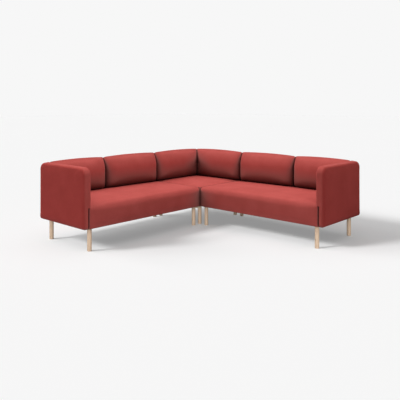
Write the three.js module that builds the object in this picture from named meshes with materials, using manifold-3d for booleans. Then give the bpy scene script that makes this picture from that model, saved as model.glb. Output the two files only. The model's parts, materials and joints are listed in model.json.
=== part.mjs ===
// Corner sofa: an upholstered corner seat with a two-seat wing on each side, on turned wooden legs.
// Lengths are millimetres, +Z is up and the floor is z = 0. Every module has a plywood seat frame, elastic
// webbing and a foam seat under fabric. Boards inside upholstered sleeves carry the arms and the backs.
//
// A wing is laid out in its own directions: "along" runs from the outer back corner to the arm, "out" runs
// from the outer back plane to the seat's front, and "up" is the height above the floor. A place or a
// corner is written [along, out, up]. The left wing is turned a quarter round, and the right wing and the
// corner module are its mirror image.

import * as THREE from "three";
import { mergeVertices } from "three/addons/utils/BufferGeometryUtils.js";
import Module from "manifold-3d";

// Overall sizes
const moduleDepth = 780;
const twoSeatLength = 1550;
const legHeight = 208;
const panelTop = 780;
const seatTop = 427;

// Clearances and overruns
const clearance = 0.3;
const moduleGap = 0.6;
const overrun = 20;

// Upholstered seat
const seatCrown = 18;
const crownFlatness = 4;
const seatEdgeRadius = 40;
const seatTuckRadius = 9;
const seatJointRadius = 9;
const seatArmRadius = 30;
const apronThickness = 22;
const endPadding = 10;
const cornerReturn = 45;

// Arms
const armThickness = 82;
const armPressedThickness = 50;
const armFrontRadius = 75;
const armEdgeRadius = 26;
const armOuterPadding = 14;
const armCoreInset = 34;

// Back panels
const panelThickness = 48;
const backTopRadius = 72;
const bottomCornerRadius = 30;
const panelEndRadius = 6;
const panelLipChamfer = 6;
const outerCornerRadius = 40;
const panelOuterPadding = 12;
const panelCoreInset = 40;

// Back cushions
const cushionOverhang = 37;
const innerCushionLength = 761;
const cushionRise = 17;
const cushionBaseDepth = 105;
const cushionCrestOut = 60;
const cushionCrestDrop = 12;
const cushionShoulderHeight = 165;
const cushionLeanEase = 0.36;
const cushionRearRadius = 32;
const cushionFrontTuckOut = 46;
const cushionFrontTuckUp = 72;
const cushionRearTuck = 9;
const cushionBulge = 10;
const cushionEndLength = 115;
const cushionEndRecess = 84;
const cushionMitreLength = 34;
const cushionMitreRecess = 26;
const cushionCornerRadius = 20;
const cushionEndDraw = 5;
const cushionEndBulge = 3;

// Seat frame
const plyThickness = 15;
const legBoardThickness = 18;
const legBoardWidth = 105;
const railHeight = 75;
const dustCoverThickness = 1.2;
const strapWidth = 60;
const strapThickness = 3;
const strapPitch = 165;

// Legs
const legDiameter = 42;
const legChamfer = 2;
const tenonDiameter = 20;
const tenonLength = 16;
const legFrontInset = 51;
const legRearInset = 80;
const legArmInset = 92;

// Linking plates between modules
const plateLength = 120;
const plateWidth = 40;
const plateThickness = 3;
const plateHoleDiameter = 9;
const plateHoleInset = 20;
const plateFrontInset = 190;
const plateRearInset = 190;

// Steps of the round and soft surfaces
const roundSteps = 2;
const cornerSteps = 6;
const bevelSteps = 3;
const legSides = 16;
const holeSides = 12;
const crownStepsAlong = 8;
const crownStepsOut = 6;
const cushionRingPoints = 26;
const cushionStations = 8;
const cushionEndSteps = 4;

// Places that follow from the sizes
const cornerEnd = moduleDepth;
const wingStart = cornerEnd + moduleGap;
const wingEnd = wingStart + twoSeatLength;
const halfLength = wingEnd / 2;
const armInner = wingEnd - armThickness;
const seatArmEnd = wingEnd - armPressedThickness;
const panelFront = panelThickness + clearance;
const plateBottom = legHeight + clearance;
const dustCoverBottom = plateBottom + plateThickness + clearance;
const frameBottom = dustCoverBottom + dustCoverThickness + clearance;
const railTop = frameBottom + railHeight;
const webbingBottom = railTop + clearance;
const padUnderside = webbingBottom + strapThickness + clearance;
const cushionBack = panelFront + clearance;
const cushionFront = cushionBack + cushionBaseDepth;
const cushionEdgeShare = (cushionFront - panelFront) / (moduleDepth - panelFront);
const cushionBottom = seatTop + seatCrown * swell(cushionEdgeShare) + clearance;
const cornerCushionEnd = cornerEnd + cushionOverhang;
const innerCushionEnd = cornerCushionEnd + innerCushionLength;
const cushionTop = panelTop + cushionRise;

// Materials
const fabric = new THREE.MeshStandardMaterial({ color: 0xb4504b, roughness: 0.92, metalness: 0 });
const beech = new THREE.MeshStandardMaterial({ color: 0xdcb694, roughness: 0.55, metalness: 0 });
const plywood = new THREE.MeshStandardMaterial({ color: 0xc9a878, roughness: 0.7, metalness: 0 });
const webbing = new THREE.MeshStandardMaterial({ color: 0x3a3833, roughness: 0.9, metalness: 0 });
const dustCloth = new THREE.MeshStandardMaterial({ color: 0x1d1d1e, roughness: 0.95, metalness: 0 });
const steel = new THREE.MeshStandardMaterial({ color: 0x8b8d90, roughness: 0.4, metalness: 0.9 });

const wasm = await Module();
wasm.setup();

// Joining and cutting

function weld(geometry) {
  geometry.deleteAttribute("normal");
  geometry.deleteAttribute("uv");
  return mergeVertices(geometry);
}

function toSolid(geometry) {
  const welded = weld(geometry);
  return new wasm.Manifold(new wasm.Mesh({
    numProp: 3,
    vertProperties: new Float32Array(welded.attributes.position.array),
    triVerts: new Uint32Array(welded.index.array),
  }));
}

function toGeometry(solid) {
  const mesh = solid.getMesh();
  const geometry = new THREE.BufferGeometry();
  geometry.setAttribute("position", new THREE.BufferAttribute(new Float32Array(mesh.vertProperties), 3));
  geometry.setIndex(new THREE.BufferAttribute(new Uint32Array(mesh.triVerts), 1));
  return geometry;
}

function cut(geometry, ...tools) {
  return toGeometry(tools.reduce((solid, tool) => solid.subtract(toSolid(tool)), toSolid(geometry)));
}

function join(geometry, ...others) {
  return toGeometry(others.reduce((solid, other) => solid.add(toSolid(other)), toSolid(geometry)));
}

function common(geometry, ...others) {
  return toGeometry(others.reduce((solid, other) => solid.intersect(toSolid(other)), toSolid(geometry)));
}

function mirrored(geometry) {
  const copy = weld(geometry.clone()).scale(1, -1, 1);
  const corners = copy.index.array;
  for (let first = 0; first < corners.length; first += 3) {
    [corners[first], corners[first + 1]] = [corners[first + 1], corners[first]];
  }
  return copy;
}

// Plain forms

function board(low, high) {
  const size = high.map((end, axis) => end - low[axis]);
  return new THREE.BoxGeometry(...size).translate(...low.map((end, axis) => end + size[axis] / 2));
}

function rod(along, out, bottom, top, diameter, sides) {
  const height = top - bottom;
  const radius = diameter / 2;
  return new THREE.CylinderGeometry(radius, radius, height, sides)
    .rotateX(Math.PI / 2)
    .translate(along, out, bottom + height / 2);
}

// A closed outline with its own radius at each corner, counted from the low-low corner anticlockwise.
// Where a side is too short for its two corners, all the radii shrink alike.
function roundedOutline([low, bottom], [high, top], radii) {
  const outline = new THREE.Shape();
  const quarter = Math.PI / 2;
  const straightShare = 0.02;
  const sides = [high - low, top - bottom, high - low, top - bottom];
  const fits = sides.map((side, index) => {
    return (side * (1 - straightShare)) / (radii[index] + radii[(index + 1) % 4]);
  });
  const fit = Math.min(1, ...fits);
  const [lowBottom, highBottom, highTop, lowTop] = radii.map((radius) => radius * fit);
  outline.absarc(low + lowBottom, bottom + lowBottom, lowBottom, 2 * quarter, 3 * quarter);
  outline.absarc(high - highBottom, bottom + highBottom, highBottom, 3 * quarter, 4 * quarter);
  outline.absarc(high - highTop, top - highTop, highTop, 0, quarter);
  outline.absarc(low + lowTop, top - lowTop, lowTop, quarter, 2 * quarter);
  outline.closePath();
  return outline;
}

// Extrudes an outline drawn in out and up along the wing, its end edges rounded inside its own size.
function slabAlong(outline, start, end, edgeRadius) {
  const round = edgeRadius > 0;
  const geometry = new THREE.ExtrudeGeometry(outline, {
    depth: end - start - 2 * edgeRadius,
    steps: 1,
    curveSegments: cornerSteps,
    bevelEnabled: round,
    bevelThickness: edgeRadius,
    bevelSize: edgeRadius,
    bevelOffset: -edgeRadius,
    bevelSegments: bevelSteps,
  });
  const toWing = new THREE.Matrix4().makeBasis(
    new THREE.Vector3(0, 1, 0),
    new THREE.Vector3(0, 0, 1),
    new THREE.Vector3(1, 0, 0),
  );
  return geometry.applyMatrix4(toWing).translate(start + edgeRadius, 0, 0);
}

// Extrudes an outline drawn in along and up from the outer back plane to the front.
function slabOut(outline, start, end) {
  const geometry = new THREE.ExtrudeGeometry(outline, {
    depth: end - start,
    steps: 1,
    curveSegments: cornerSteps,
    bevelEnabled: false,
  });
  return geometry.rotateX(Math.PI / 2).translate(0, end, 0);
}

// Extrudes a plan outline upwards.
function slabUp(outline, bottom, top) {
  const geometry = new THREE.ExtrudeGeometry(outline, {
    depth: top - bottom,
    steps: 1,
    curveSegments: cornerSteps,
    bevelEnabled: false,
  });
  return geometry.translate(0, 0, bottom);
}

// Soft forms

// Stops from low to high: tight ones where the surface turns, and even ones across the face.
function padStops(low, high, lowRadius, highRadius, faceSteps) {
  const stops = [];
  const turn = (step) => Math.tan((Math.PI / 4) * (step / roundSteps));
  for (let step = roundSteps; step > 0; step -= 1) {
    stops.push(low + lowRadius * (1 - turn(step)));
  }
  const faceLength = high - highRadius - low - lowRadius;
  for (let step = 0; step <= faceSteps; step += 1) {
    stops.push(low + lowRadius + (faceLength * step) / faceSteps);
  }
  for (let step = 1; step <= roundSteps; step += 1) {
    stops.push(high - highRadius * (1 - turn(step)));
  }
  return stops;
}

// A block whose edges are rounded by one radius for each of its six sides.
function paddedBlock(low, high, lowRadii, highRadii, faceSteps) {
  const stops = low.map((start, axis) => {
    return padStops(start, high[axis], lowRadii[axis], highRadii[axis], faceSteps[axis]);
  });
  const counts = stops.map((list) => list.length - 1);
  const block = weld(new THREE.BoxGeometry(1, 1, 1, ...counts));
  const points = block.attributes.position;
  for (let index = 0; index < points.count; index += 1) {
    const onBox = [0, 1, 2].map((axis) => {
      const share = points.getComponent(index, axis) + 1 / 2;
      return stops[axis][Math.round(share * counts[axis])];
    });
    const core = onBox.map((value, axis) => {
      return Math.min(Math.max(value, low[axis] + lowRadii[axis]), high[axis] - highRadii[axis]);
    });
    const radii = onBox.map((value, axis) => (value < core[axis] ? lowRadii[axis] : highRadii[axis]));
    const reach = onBox.map((value, axis) => (value - core[axis]) / radii[axis]);
    const length = Math.hypot(...reach);
    points.setXYZ(index, ...core.map((value, axis) => value + (radii[axis] * reach[axis]) / length));
  }
  return block;
}

// How much of its full rise a crowned surface has at a share of its length.
function swell(share) {
  return 1 - Math.abs(2 * share - 1) ** crownFlatness;
}

// Raises the top of a seat towards its middle, leaving its sides where they are.
function crown(block, low, high, rise) {
  const points = block.attributes.position;
  for (let index = 0; index < points.count; index += 1) {
    const shares = [0, 1, 2].map((axis) => {
      return (points.getComponent(index, axis) - low[axis]) / (high[axis] - low[axis]);
    });
    points.setZ(index, points.getZ(index) + rise * shares[2] * swell(shares[0]) * swell(shares[1]));
  }
  return block;
}

// The seat's outer form. grow widens it on all sides, to press the same form into a neighbour.
function seatForm(start, end, startRadius, endRadius, grow) {
  const low = [start - grow, panelFront - grow, legHeight - grow];
  const high = [end + grow, moduleDepth + grow, seatTop + grow];
  const lowRadii = [startRadius, seatTuckRadius, seatTuckRadius];
  const highRadii = [endRadius, seatEdgeRadius, seatEdgeRadius];
  const block = paddedBlock(low, high, lowRadii, highRadii, [crownStepsAlong, crownStepsOut, 1]);
  return crown(block, low, high, seatCrown);
}

// The section of a back cushion in out and up: it leans back at the top and is tucked in at its foot.
function cushionSection() {
  const outline = new THREE.Path();
  const quarter = Math.PI / 2;
  const shoulder = cushionTop - cushionShoulderHeight;
  const rearShoulder = cushionTop - cushionRearRadius;
  const crestReach = cushionFront - cushionCrestOut;
  const rearReach = cushionCrestOut - cushionBack;
  const rearTuckOut = cushionBack + cushionRearTuck;
  const rearTuckUp = cushionBottom + cushionRearTuck;
  const tuckOut = cushionFront - cushionFrontTuckOut;
  const tuckUp = cushionBottom + cushionFrontTuckUp;
  const leanOut = cushionCrestOut + cushionLeanEase * crestReach;
  const leanUp = shoulder + cushionLeanEase * cushionShoulderHeight;
  outline.absarc(rearTuckOut, rearTuckUp, cushionRearTuck, 2 * quarter, 3 * quarter);
  outline.absellipse(tuckOut, tuckUp, cushionFrontTuckOut, cushionFrontTuckUp, 3 * quarter, 4 * quarter);
  outline.lineTo(cushionFront, shoulder);
  outline.bezierCurveTo(cushionFront, leanUp, leanOut, cushionTop, cushionCrestOut, cushionTop);
  outline.absellipse(cushionCrestOut, rearShoulder, rearReach, cushionRearRadius, quarter, 2 * quarter);
  outline.lineTo(cushionBack, rearTuckUp);
  return outline.getSpacedPoints(cushionRingPoints).slice(0, cushionRingPoints);
}

// Where the rings of a cushion lie: close together where its ends turn back, and even between them.
function cushionRings(start, end, startLength, endLength) {
  const turn = (step) => 1 - Math.sin((Math.PI / 2) * (step / cushionEndSteps));
  const rings = [];
  for (let step = cushionEndSteps; step > 0; step -= 1) {
    rings.push(start + startLength * turn(step));
  }
  const length = end - endLength - start - startLength;
  for (let step = 0; step <= cushionStations; step += 1) {
    rings.push(start + startLength + (length * step) / cushionStations);
  }
  for (let step = 1; step <= cushionEndSteps; step += 1) {
    rings.push(end - endLength * turn(step));
  }
  return rings;
}

// How far a surface has turned in at a distance from its end, on a quarter of an ellipse.
function turnedIn(distance, length, depth) {
  const reach = 1 - Math.min(distance / length, 1);
  return depth * (1 - Math.sqrt(1 - reach ** 2));
}

// A back cushion between two places along the wing. mitre slants its start end back into the corner.
function backCushion(start, end, mitre) {
  const section = cushionSection();
  const startLength = mitre ? cushionMitreLength : cushionEndLength;
  const startRecess = mitre ? cushionMitreRecess : cushionEndRecess;
  const height = cushionTop - cushionBottom;
  const middleUp = cushionBottom + height / 2;
  const points = [];
  const place = ([along, out, up]) => {
    const fromEnd = (end - along) / (end - start);
    const slant = mitre ? (out - cushionBack) * fromEnd : 0;
    points.push(along + slant, out, up);
  };
  const rings = cushionRings(start, end, startLength, cushionEndLength);
  const thickness = (along) => {
    const startTurn = turnedIn(along - start, startLength, startRecess);
    const endTurn = turnedIn(end - along, cushionEndLength, cushionEndRecess);
    return 1 - (startTurn + endTurn) / cushionBaseDepth;
  };
  for (const along of rings) {
    const share = (2 * (along - start)) / (end - start) - 1;
    const thin = thickness(along);
    const fromEnd = Math.min(along - start, end - along);
    const cornered = turnedIn(fromEnd, cushionCornerRadius, cushionCornerRadius);
    for (const { x: out, y: up } of section) {
      const tall = (up - cushionBottom) / height;
      const across = (2 * (out - cushionBack)) / cushionBaseDepth - 1;
      const level = 2 * tall - 1;
      const onCorner = Math.min(1, Math.abs(across * level));
      const drawn = Math.sign(share) * cushionEndDraw * Math.abs(share) ** 6 * (1 - onCorner);
      const forward = across > 0 ? cushionBulge * (1 - share ** 2) * Math.sin(Math.PI * tall) : 0;
      const lowered = cushionCrestDrop * share ** 2 * tall ** 2;
      place([
        along - drawn,
        cushionBack + (out - cushionBack) * thin + forward,
        middleUp + level * (height / 2 - cornered) - lowered,
      ]);
    }
  }
  for (const [along, inward] of [[start, 1], [end, -1]]) {
    const middleOut = cushionBack + (cushionBaseDepth / 2) * thickness(along);
    place([along + inward * (cushionEndDraw - cushionEndBulge), middleOut, middleUp]);
  }
  return ringSurface(points, section.length, rings.length);
}

// Closes rings of points, with a fan of triangles to a middle point at each end.
function ringSurface(points, ringLength, ringCount) {
  const faces = [];
  const startMiddle = ringLength * ringCount;
  const endMiddle = startMiddle + 1;
  for (let ring = 0; ring < ringCount - 1; ring += 1) {
    for (let point = 0; point < ringLength; point += 1) {
      const here = ring * ringLength + point;
      const next = ring * ringLength + ((point + 1) % ringLength);
      faces.push(here, next, next + ringLength, here, next + ringLength, here + ringLength);
    }
  }
  for (let point = 0; point < ringLength; point += 1) {
    const next = (point + 1) % ringLength;
    const lastRing = (ringCount - 1) * ringLength;
    faces.push(startMiddle, next, point);
    faces.push(endMiddle, lastRing + point, lastRing + next);
  }
  const geometry = new THREE.BufferGeometry();
  geometry.setAttribute("position", new THREE.Float32BufferAttribute(points, 3));
  geometry.setIndex(faces);
  return geometry;
}

// Seat pieces

// The foam seat of a two-seat wing: an apron hangs in front of the frame and turns in at both ends.
function wingPad() {
  const whole = seatForm(wingStart, seatArmEnd, seatJointRadius, seatArmRadius, 0);
  const returnStart = moduleDepth - cornerReturn;
  const behindReturns = board(
    [wingStart - overrun, panelFront - overrun, legHeight - overrun],
    [wingEnd + overrun, returnStart, padUnderside],
  );
  const betweenReturns = board(
    [wingStart + endPadding, returnStart - overrun, legHeight - overrun],
    [seatArmEnd - endPadding, moduleDepth - apronThickness, padUnderside],
  );
  return cut(whole, behindReturns, betweenReturns);
}

// The foam seat of the corner module, with a short apron round its one free corner.
function cornerPad() {
  const low = [panelFront, panelFront, legHeight];
  const high = [moduleDepth, moduleDepth, seatTop];
  const lowRadii = [seatTuckRadius, seatTuckRadius, seatTuckRadius];
  const highRadii = [seatJointRadius, seatJointRadius, seatEdgeRadius];
  const block = paddedBlock(low, high, lowRadii, highRadii, [crownStepsOut, crownStepsOut, 1]);
  const whole = crown(block, low, high, seatCrown);
  const returnStart = moduleDepth - cornerReturn;
  const under = [panelFront - overrun, panelFront - overrun, legHeight - overrun];
  const besideReturn = board(under, [returnStart, moduleDepth + overrun, padUnderside]);
  const behindReturn = board(under, [moduleDepth + overrun, returnStart, padUnderside]);
  const insideReturn = board(under, [moduleDepth - endPadding, moduleDepth - endPadding, padUnderside]);
  return cut(whole, besideReturn, behindReturn, insideReturn);
}

// A leg board with its upright end rail glued on, bored for two legs.
function endRail(railSide, boardSide, outRange, legAlong, legOuts) {
  const alongs = [railSide, boardSide].sort((a, b) => a - b);
  const railEdge = railSide < boardSide ? railSide + plyThickness : railSide - plyThickness;
  const rail = [railSide, railEdge].sort((a, b) => a - b);
  const legBoard = board(
    [alongs[0], outRange[0], frameBottom],
    [alongs[1], outRange[1], frameBottom + legBoardThickness],
  );
  const upright = board([rail[0], outRange[0], frameBottom], [rail[1], outRange[1], railTop]);
  const bores = legOuts.map((out) => {
    const boreDiameter = tenonDiameter + 2 * clearance;
    return rod(legAlong, out, frameBottom - overrun, railTop, boreDiameter, legSides);
  });
  return cut(join(legBoard, upright), ...bores);
}

// Straps that cross and are stitched together, laid on top of the rails.
function webbingMat(alongRange, outRange) {
  const top = webbingBottom + strapThickness;
  const strapCentres = ([low, high]) => {
    const count = Math.max(2, Math.round((high - low - strapWidth) / strapPitch));
    const pitch = (high - low - strapWidth) / count;
    return Array.from({ length: count - 1 }, (_, index) => low + strapWidth / 2 + pitch * (index + 1));
  };
  const straps = [];
  for (const along of strapCentres(alongRange)) {
    const low = [along - strapWidth / 2, outRange[0], webbingBottom];
    straps.push(board(low, [along + strapWidth / 2, outRange[1], top]));
  }
  for (const out of strapCentres(outRange)) {
    const low = [alongRange[0], out - strapWidth / 2, webbingBottom];
    straps.push(board(low, [alongRange[1], out + strapWidth / 2, top]));
  }
  return join(...straps);
}

// The black cloth under a frame, with a hole for each leg.
function dustCover(alongRange, outRange, legs) {
  const top = dustCoverBottom + dustCoverThickness;
  const sheet = board([alongRange[0], outRange[0], dustCoverBottom], [alongRange[1], outRange[1], top]);
  const holes = legs.map(([along, out]) => {
    const holeDiameter = legDiameter + 2 * clearance;
    return rod(along, out, dustCoverBottom - overrun, top + overrun, holeDiameter, legSides);
  });
  return cut(sheet, ...holes);
}

function leg() {
  const radius = legDiameter / 2;
  const shoulder = frameBottom - clearance;
  const profile = [
    new THREE.Vector2(0, 0),
    new THREE.Vector2(radius - legChamfer, 0),
    new THREE.Vector2(radius, legChamfer),
    new THREE.Vector2(radius, shoulder),
    new THREE.Vector2(tenonDiameter / 2, shoulder),
    new THREE.Vector2(tenonDiameter / 2, shoulder + tenonLength),
    new THREE.Vector2(0, shoulder + tenonLength),
  ];
  return new THREE.LatheGeometry(profile, legSides).rotateX(Math.PI / 2);
}

// A steel plate under the end rails of two neighbouring modules.
function linkingPlate(out) {
  const low = [cornerEnd + moduleGap / 2 - plateLength / 2, out - plateWidth / 2, plateBottom];
  const high = [low[0] + plateLength, out + plateWidth / 2, plateBottom + plateThickness];
  const holes = [low[0] + plateHoleInset, high[0] - plateHoleInset].map((along) => {
    return rod(along, out, plateBottom - overrun, plateBottom + overrun, plateHoleDiameter, holeSides);
  });
  return cut(board(low, high), ...holes);
}

// Arms and backs

// The arm's side outline in out and up; inset draws it in on all sides.
function armOutline(inset) {
  const shrink = (radius) => Math.max(radius - inset, seatTuckRadius);
  const radii = [bottomCornerRadius, bottomCornerRadius, armFrontRadius, backTopRadius].map(shrink);
  return roundedOutline([inset, legHeight + inset], [moduleDepth - inset, panelTop - inset], radii);
}

function armCoreRange() {
  const outer = wingEnd - armOuterPadding;
  return [outer - plyThickness, outer];
}

// The padded arm: the seat's end presses into it, and a slot from below takes its board.
function arm() {
  const slab = slabAlong(armOutline(0), armInner, wingEnd, armEdgeRadius);
  const pressedSeat = seatForm(wingStart, seatArmEnd, seatJointRadius, seatArmRadius, clearance);
  const [coreStart, coreEnd] = armCoreRange();
  const slot = slabAlong(armOutline(armCoreInset - clearance), coreStart - clearance, coreEnd + clearance, 0);
  const mouthTop = legHeight + armCoreInset + bottomCornerRadius;
  const mouth = board(
    [coreStart - clearance, armCoreInset - clearance, legHeight - overrun],
    [coreEnd + clearance, moduleDepth - armCoreInset + clearance, mouthTop],
  );
  const frameRoom = board(
    [armInner - overrun, panelFront, legHeight - overrun],
    [seatArmEnd - endPadding, moduleDepth - apronThickness, padUnderside],
  );
  return cut(slab, pressedSeat, frameRoom, slot, mouth);
}

function armCore() {
  const [coreStart, coreEnd] = armCoreRange();
  return slabAlong(armOutline(armCoreInset), coreStart, coreEnd, 0);
}

// The section of a back panel in out and up. Its outer edges follow the same curves as the arm's.
function panelOutline() {
  const outline = new THREE.Shape();
  const quarter = Math.PI / 2;
  const curveMiddle = panelTop - backTopRadius;
  const curveTop = (out) => {
    const reach = backTopRadius - Math.min(out, backTopRadius);
    return curveMiddle + Math.sqrt(backTopRadius ** 2 - reach ** 2);
  };
  const lip = Math.min(panelThickness - panelLipChamfer, backTopRadius);
  const lipAngle = Math.acos((lip - backTopRadius) / backTopRadius);
  const tuckUp = legHeight + seatTuckRadius;
  const cornerUp = legHeight + bottomCornerRadius;
  outline.absarc(bottomCornerRadius, cornerUp, bottomCornerRadius, 2 * quarter, 3 * quarter);
  outline.absarc(panelThickness - seatTuckRadius, tuckUp, seatTuckRadius, 3 * quarter, 4 * quarter);
  outline.lineTo(panelThickness, curveTop(panelThickness) - panelLipChamfer);
  outline.absarc(backTopRadius, curveMiddle, backTopRadius, lipAngle, 2 * quarter);
  outline.closePath();
  return outline;
}

function panelCoreRange() {
  return [panelOuterPadding, panelOuterPadding + plyThickness];
}

function panelCore(start, end) {
  const [back, front] = panelCoreRange();
  return board([start, back, legHeight + panelCoreInset], [end, front, panelTop - panelCoreInset]);
}

// A padded back panel with a slot from below for its board, which stops short of both ends.
function backPanel(start, end) {
  const slab = slabAlong(panelOutline(), start, end, panelEndRadius);
  const [back, front] = panelCoreRange();
  const slot = board(
    [start + panelCoreInset - clearance, back - clearance, legHeight - overrun],
    [end - panelCoreInset + clearance, front + clearance, panelTop - panelCoreInset + clearance],
  );
  return cut(slab, slot);
}

// The corner's longer back panel: its free end is rounded in elevation and in plan like the backs it joins.
function cornerPanel() {
  const elevation = roundedOutline(
    [0, legHeight],
    [cornerEnd, panelTop],
    [bottomCornerRadius, panelEndRadius, panelEndRadius, backTopRadius],
  );
  const plan = roundedOutline(
    [0, 0],
    [cornerEnd, panelThickness],
    [outerCornerRadius, panelEndRadius, panelEndRadius, panelLipChamfer],
  );
  const trimmed = common(
    backPanel(0, cornerEnd),
    slabOut(elevation, -overrun, panelThickness + overrun),
    slabUp(plan, legHeight - overrun, panelTop + overrun),
  );
  return trimmed;
}

// Assembly

const sofa = new THREE.Group();
sofa.name = "corner_sofa";
const leftWing = new THREE.Group();
leftWing.position.set(-halfLength, halfLength, 0);
leftWing.rotation.z = -Math.PI / 2;
const rightWing = new THREE.Group();
rightWing.position.set(-halfLength, halfLength, 0);
sofa.add(leftWing, rightWing);

function addPiece(side, name, geometry, material) {
  const placed = side === "left" ? geometry : mirrored(geometry);
  const mesh = new THREE.Mesh(placed, material);
  mesh.name = name;
  (side === "left" ? leftWing : rightWing).add(mesh);
}

// Rails, webbing, dust cover and legs of one module.
function addSeatFrame(side, prefix, { start, end, front, legAlongs, middleRail }) {
  const rear = panelFront + clearance;
  const railInner = rear + plyThickness;
  const railOuter = front - plyThickness;
  const between = [railInner + clearance, railOuter - clearance];
  const legOuts = [legRearInset, moduleDepth - legFrontInset];
  const rearRail = board([start, rear, frameBottom], [end, railInner, railTop]);
  const frontRail = board([start, railOuter, frameBottom], [end, front, railTop]);
  addPiece(side, `${prefix}_rear_rail`, rearRail, plywood);
  addPiece(side, `${prefix}_front_rail`, frontRail, plywood);
  const nearEnd = endRail(start, start + legBoardWidth, between, legAlongs[0], legOuts);
  const farEnd = endRail(end, end - legBoardWidth, between, legAlongs[1], legOuts);
  addPiece(side, `${prefix}_inner_end_rail`, nearEnd, plywood);
  addPiece(side, `${prefix}_outer_end_rail`, farEnd, plywood);
  if (middleRail) {
    const centre = (start + end) / 2;
    const low = [centre - plyThickness / 2, between[0], frameBottom];
    const high = [centre + plyThickness / 2, between[1], railTop];
    addPiece(side, `${prefix}_middle_rail`, board(low, high), plywood);
  }
  addPiece(side, `${prefix}_webbing`, webbingMat([start, end], [rear, front]), webbing);
  const legs = legAlongs.flatMap((along) => legOuts.map((out) => [along, out]));
  addPiece(side, `${prefix}_dust_cover`, dustCover([start, end], [rear, front], legs), dustCloth);
  const names = ["inner_rear", "inner_front", "outer_rear", "outer_front"];
  legs.forEach(([along, out], index) => {
    addPiece(side, `${prefix}_leg_${names[index]}`, leg().translate(along, out, 0), beech);
  });
}

// A two-seat wing from the corner module to its arm.
function addWing(side) {
  addSeatFrame(side, side, {
    start: wingStart + endPadding + clearance,
    end: seatArmEnd - endPadding - clearance,
    front: moduleDepth - apronThickness - clearance,
    legAlongs: [wingStart + legFrontInset, wingEnd - legArmInset],
    middleRail: true,
  });
  addPiece(side, `${side}_seat_pad`, wingPad(), fabric);
  const panelEnd = armInner - clearance;
  addPiece(side, `${side}_back_panel`, backPanel(wingStart, panelEnd), fabric);
  const core = panelCore(wingStart + panelCoreInset, panelEnd - panelCoreInset);
  addPiece(side, `${side}_back_board`, core, plywood);
  addPiece(side, `${side}_arm`, arm(), fabric);
  addPiece(side, `${side}_arm_board`, armCore(), plywood);
  const innerCushion = backCushion(cornerCushionEnd + clearance, innerCushionEnd - clearance, false);
  const outerCushion = backCushion(innerCushionEnd + clearance, panelEnd, false);
  addPiece(side, `${side}_back_cushion_inner`, innerCushion, fabric);
  addPiece(side, `${side}_back_cushion_outer`, outerCushion, fabric);
}

function addCorner() {
  addSeatFrame("right", "corner", {
    start: panelFront + clearance,
    end: moduleDepth - endPadding - clearance,
    front: moduleDepth - endPadding - clearance,
    legAlongs: [legRearInset, moduleDepth - legFrontInset],
    middleRail: false,
  });
  addPiece("right", "corner_seat_pad", cornerPad(), fabric);
  addPiece("right", "corner_back_panel_right", cornerPanel(), fabric);
  const rightCore = panelCore(panelCoreInset, cornerEnd - panelCoreInset);
  addPiece("right", "corner_back_board_right", rightCore, plywood);
  const leftStart = panelFront;
  addPiece("left", "corner_back_panel_left", backPanel(leftStart, cornerEnd), fabric);
  const leftCore = panelCore(leftStart + panelCoreInset, cornerEnd - panelCoreInset);
  addPiece("left", "corner_back_board_left", leftCore, plywood);
  for (const side of ["left", "right"]) {
    const cushion = backCushion(cushionBack + clearance, cornerCushionEnd - clearance, true);
    addPiece(side, `corner_back_cushion_${side}`, cushion, fabric);
  }
}

addWing("left");
addCorner();
addWing("right");
for (const side of ["left", "right"]) {
  addPiece(side, `${side}_linking_plate_rear`, linkingPlate(plateRearInset), steel);
  addPiece(side, `${side}_linking_plate_front`, linkingPlate(moduleDepth - plateFrontInset), steel);
}

export default sofa;
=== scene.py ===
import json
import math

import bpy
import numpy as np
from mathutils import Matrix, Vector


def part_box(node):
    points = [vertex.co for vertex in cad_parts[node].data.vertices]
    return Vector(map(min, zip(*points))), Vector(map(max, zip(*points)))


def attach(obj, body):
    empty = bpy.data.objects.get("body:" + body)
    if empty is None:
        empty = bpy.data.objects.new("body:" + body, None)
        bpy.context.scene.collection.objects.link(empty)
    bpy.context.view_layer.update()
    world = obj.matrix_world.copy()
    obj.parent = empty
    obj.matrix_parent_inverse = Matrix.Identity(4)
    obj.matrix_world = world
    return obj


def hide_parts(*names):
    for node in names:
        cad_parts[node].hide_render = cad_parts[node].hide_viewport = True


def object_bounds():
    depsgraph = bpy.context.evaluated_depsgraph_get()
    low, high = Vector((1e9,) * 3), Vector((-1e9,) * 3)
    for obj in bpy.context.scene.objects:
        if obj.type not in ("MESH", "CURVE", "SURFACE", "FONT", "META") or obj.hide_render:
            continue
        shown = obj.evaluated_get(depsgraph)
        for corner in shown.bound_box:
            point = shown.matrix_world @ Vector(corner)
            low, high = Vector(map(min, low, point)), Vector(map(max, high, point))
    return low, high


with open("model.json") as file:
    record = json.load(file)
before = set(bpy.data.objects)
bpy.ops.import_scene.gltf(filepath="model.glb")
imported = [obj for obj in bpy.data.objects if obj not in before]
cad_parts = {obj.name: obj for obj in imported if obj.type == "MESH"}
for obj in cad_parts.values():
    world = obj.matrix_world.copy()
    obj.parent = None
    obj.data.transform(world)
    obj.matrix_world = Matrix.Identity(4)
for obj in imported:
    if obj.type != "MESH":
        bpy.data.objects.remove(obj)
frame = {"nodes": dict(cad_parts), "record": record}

# The corner sofa's looks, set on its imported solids. Lengths are metres.
#
# A wing is laid out in its own directions: "along" runs from the outer back corner to the arm, "out"
# runs from the outer back plane to the seat's front, and "up" is the height above the floor. The right
# wing and the corner module are the left wing's mirror image.

cad_low, cad_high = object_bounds()

# Overall sizes, the same as the solids have
HALF_LENGTH = cad_high.x
MODULE_DEPTH = 0.780
MODULE_GAP = 0.0006
LEG_HEIGHT = 0.208
PANEL_TOP = 0.780
SEAT_TOP = 0.427

# The play between pieces, and how far a cutter runs past what it cuts
CLEARANCE = 0.0003
OVERRUN = 0.020

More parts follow.
